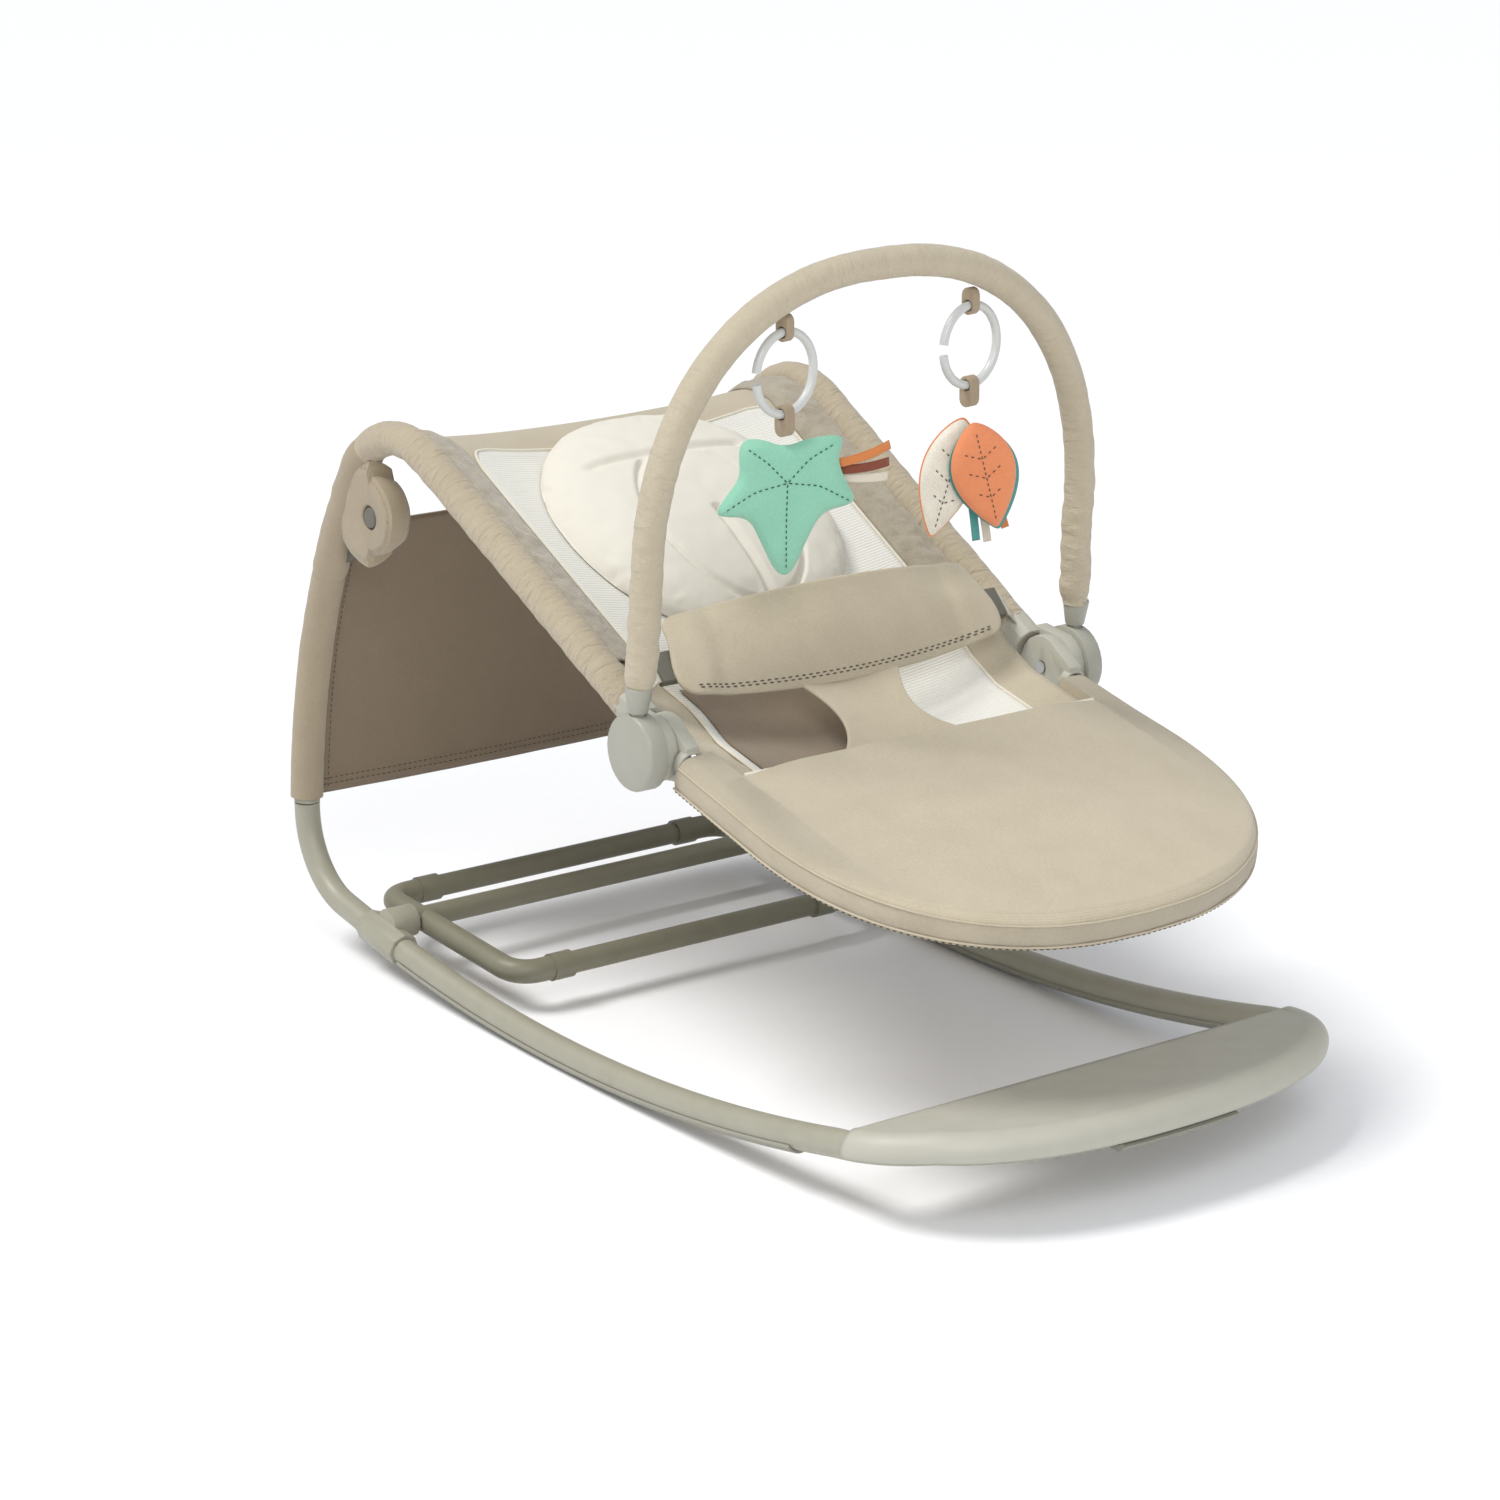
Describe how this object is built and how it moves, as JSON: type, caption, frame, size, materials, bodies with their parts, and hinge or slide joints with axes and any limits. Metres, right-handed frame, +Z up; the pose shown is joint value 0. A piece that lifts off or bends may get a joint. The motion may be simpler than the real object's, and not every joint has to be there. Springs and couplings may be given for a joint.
{
  "type": "bouncer seat",
  "caption": "Baby bouncer seat on a rocking tube base, with a flip-over stand, a reclining sling seat, a padded leg rest and a toy arch.",
  "frame": {"origin": "centre of the bounding box, on the floor", "axes": "+X towards the right side as seen from the front, +Y from the leg rest to the back, +Z up"},
  "size_m": [0.459, 0.911, 0.6592],
  "materials": {
    "painted_tube": "satin powder coat, sage grey",
    "stand_tube": "satin powder coat, darker sage grey",
    "moulded_plastic": "fine satin moulding, pale sage grey",
    "dark_plastic": "fine satin moulding, dark grey",
    "steel": "zinc plated",
    "grip_rubber": "matt",
    "taupe_fabric": "fine plain weave, taupe",
    "webbing": "woven tape",
    "ivory_plush": "soft short pile, ivory",
    "green_fabric": "soft knit, leaf green",
    "orange_fabric": "soft knit, burnt orange",
    "cream_fabric": "soft knit, cream",
    "ring_plastic": "smooth"
  },
  "bodies": {
    "base": {"floor_loop_tube": "painted_tube", "left_upright_tube": "painted_tube", "right_upright_tube": "painted_tube", "footplate": "moulded_plastic", "front_grip_pad": "grip_rubber", "left_rocker_strip": "grip_rubber", "right_rocker_strip": "grip_rubber", "left_tee_connector": "moulded_plastic", "right_tee_connector": "moulded_plastic", "crossbar_tube": "stand_tube", "left_joint_housing": "dark_plastic", "right_joint_housing": "dark_plastic", "left_joint_pin": "steel", "right_joint_pin": "steel", "rear_cover": "taupe_fabric"},
    "stand": {"left_stand_end": "moulded_plastic", "right_stand_end": "moulded_plastic", "stand_front_bar": "stand_tube", "stand_rear_bar": "stand_tube"},
    "seat_frame": {"left_rail_tube": "painted_tube", "right_rail_tube": "painted_tube", "left_joint_arm": "dark_plastic", "right_joint_arm": "dark_plastic", "left_rail_hub": "moulded_plastic", "right_rail_hub": "moulded_plastic", "left_hub_pin": "steel", "right_hub_pin": "steel", "seat_sling": "taupe_fabric", "body_insert": "ivory_plush", "waist_flap": "taupe_fabric", "left_buckle": "dark_plastic", "right_buckle": "dark_plastic", "left_buckle_tongue": "dark_plastic", "right_buckle_tongue": "dark_plastic", "left_belt": "webbing", "right_belt": "webbing"},
    "leg_rest": {"leg_frame_tube": "painted_tube", "left_leg_hub": "moulded_plastic", "right_leg_hub": "moulded_plastic", "leg_rest_pad": "taupe_fabric"},
    "arch_mounts": {"left_arch_mount": "moulded_plastic", "right_arch_mount": "moulded_plastic"},
    "toy_arch": {"left_arch_plug": "moulded_plastic", "right_arch_plug": "moulded_plastic", "arch_rod": "steel", "arch_sleeve": "taupe_fabric", "left_ring_loop": "taupe_fabric", "right_ring_loop": "taupe_fabric"},
    "left_ring": {"left_ring": "ring_plastic"},
    "right_ring": {"right_ring": "ring_plastic"},
    "left_toy": {"left_toy_loop": "taupe_fabric", "star_leaf": "green_fabric", "left_ribbons": "cream_fabric"},
    "right_toy": {"right_toy_loop": "taupe_fabric", "orange_leaf": "orange_fabric", "cream_leaf": "cream_fabric", "right_ribbons": "cream_fabric"},
    "left_button": {"left_recline_button": "dark_plastic"},
    "right_button": {"right_recline_button": "dark_plastic"}
  },
  "joints": [
    {"name": "stand_flip", "type": "hinge", "parent": "base", "child": "stand", "pos_m": [0, 0.314, 0.0445], "axis": [1, 0, 0], "range_deg": [0, 165]},
    {"name": "backrest_recline", "type": "hinge", "parent": "base", "child": "seat_frame", "pos_m": [0, 0.3225, 0.3977], "axis": [1, 0, 0], "range_deg": [-8, 7]},
    {"name": "leg_rest_tilt", "type": "hinge", "parent": "seat_frame", "child": "leg_rest", "pos_m": [0, -0.064, 0.2917], "axis": [1, 0, 0], "range_deg": [-30, 0]},
    {"name": "arch_tilt", "type": "hinge", "parent": "seat_frame", "child": "arch_mounts", "pos_m": [0, -0.064, 0.2917], "axis": [1, 0, 0], "range_deg": [-25, 40]},
    {"name": "arch_lift", "type": "slide", "parent": "arch_mounts", "child": "toy_arch", "axis": [0, -0.061, 0.9981], "range_m": [0, 0.03]},
    {"name": "left_ring_swing", "type": "hinge", "parent": "toy_arch", "child": "left_ring", "pos_m": [-0.09, -0.081, 0.6035], "axis": [0.9848, 0.1736, 0], "range_deg": [-25, 25]},
    {"name": "right_ring_swing", "type": "hinge", "parent": "toy_arch", "child": "right_ring", "pos_m": [0.09, -0.081, 0.6035], "axis": [0.9848, 0.1736, 0], "range_deg": [-25, 25]},
    {"name": "left_toy_swing", "type": "hinge", "parent": "left_ring", "child": "left_toy", "pos_m": [-0.09, -0.081, 0.5405], "axis": [0.9848, 0.1736, 0], "range_deg": [-20, 20]},
    {"name": "right_toy_swing", "type": "hinge", "parent": "right_ring", "child": "right_toy", "pos_m": [0.09, -0.081, 0.5405], "axis": [0.9848, 0.1736, 0], "range_deg": [-20, 20]},
    {"name": "left_button_press", "type": "slide", "parent": "seat_frame", "child": "left_button", "axis": [1, 0, 0], "range_m": [0, 0.004], "stiffness_N_per_m": 400, "springref_m": -0.002},
    {"name": "right_button_press", "type": "slide", "parent": "seat_frame", "child": "right_button", "axis": [-1, 0, 0], "range_m": [0, 0.004], "stiffness_N_per_m": 400, "springref_m": -0.002}
  ]
}
